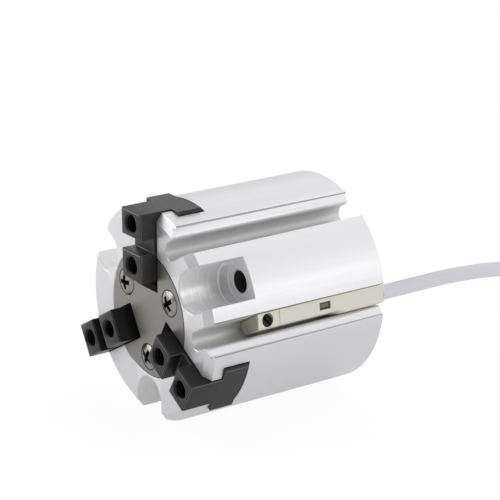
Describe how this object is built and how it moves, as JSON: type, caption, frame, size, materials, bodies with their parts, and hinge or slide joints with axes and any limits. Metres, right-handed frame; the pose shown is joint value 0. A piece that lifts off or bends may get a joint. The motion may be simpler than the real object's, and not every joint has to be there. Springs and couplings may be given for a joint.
{
  "type": "three jaw centric gripper",
  "caption": "Pneumatic centric gripper: round body, wedge-driven jaws that slide on radial guides, magnetic piston switch in a side groove, and its lead.",
  "frame": {"origin": "centre of the rear pilot bore in the mounting face", "axes": "+Y along the gripper's axis, out of the mounting face; the jaws face -Y; +Z is the top jaw's outward direction; -X is the side with the air ports"},
  "size_m": [0.0442, 0.1518, 0.0421],
  "materials": {
    "body_aluminium": "satin clear anodised extrusion",
    "plate_steel": "ground stainless steel",
    "screw_nickel": "nickel plated steel",
    "jaw_steel": "hardened and blackened steel",
    "cam_steel": "ground hardened steel",
    "piston_aluminium": "turned",
    "magnet_bonded": "bonded magnet material",
    "seal_rubber": "moulded nitrile rubber",
    "bumper_rubber": "cast polyurethane",
    "cap_aluminium": "clear anodised",
    "spring_steel": "phosphated spring steel",
    "switch_plastic": "moulded, fine texture",
    "set_screw_steel": "blackened steel",
    "window_plastic": "tinted lens",
    "cable_pvc": "extruded PVC jacket",
    "tie_nylon": "moulded nylon",
    "core_pvc": "PVC covered copper cores"
  },
  "bodies": {
    "housing": {"body": "body_aluminium", "front_plate": "plate_steel", "front_plate_screws": "screw_nickel", "rod_seal": "seal_rubber", "front_bumper": "bumper_rubber", "rear_bumper": "bumper_rubber", "rear_cap": "cap_aluminium", "cap_seal": "seal_rubber", "retaining_ring": "spring_steel", "switch_body": "switch_plastic", "switch_clamp": "switch_plastic", "switch_screw": "set_screw_steel", "switch_window": "window_plastic", "cable": "cable_pvc", "cable_coil": "cable_pvc", "coil_tie": "tie_nylon", "cable_cores": "core_pvc"},
    "piston_group": {"wedge_cam": "cam_steel", "piston": "piston_aluminium", "piston_magnet": "magnet_bonded", "piston_retainer": "piston_aluminium", "piston_seal": "seal_rubber", "piston_bolt": "screw_nickel"},
    "top_jaw": {"jaw_top": "jaw_steel"},
    "right_jaw": {"jaw_right": "jaw_steel"},
    "left_jaw": {"jaw_left": "jaw_steel"}
  },
  "joints": [
    {"name": "piston_slide", "type": "slide", "parent": "housing", "child": "piston_group", "axis": [0, 1, 0], "range_m": [0, 0.003]},
    {"name": "top_jaw_slide", "type": "slide", "parent": "housing", "child": "top_jaw", "axis": [0, 0, -1], "range_m": [0, 0.002]},
    {"name": "right_jaw_slide", "type": "slide", "parent": "housing", "child": "right_jaw", "axis": [-0.866, 0, 0.5], "range_m": [0, 0.002]},
    {"name": "left_jaw_slide", "type": "slide", "parent": "housing", "child": "left_jaw", "axis": [0.866, 0, 0.5], "range_m": [0, 0.002]}
  ],
  "couplings": [
    {"joint": "top_jaw_slide", "follows": "piston_slide", "ratio": 0.66667},
    {"joint": "right_jaw_slide", "follows": "piston_slide", "ratio": 0.66667},
    {"joint": "left_jaw_slide", "follows": "piston_slide", "ratio": 0.66667}
  ]
}
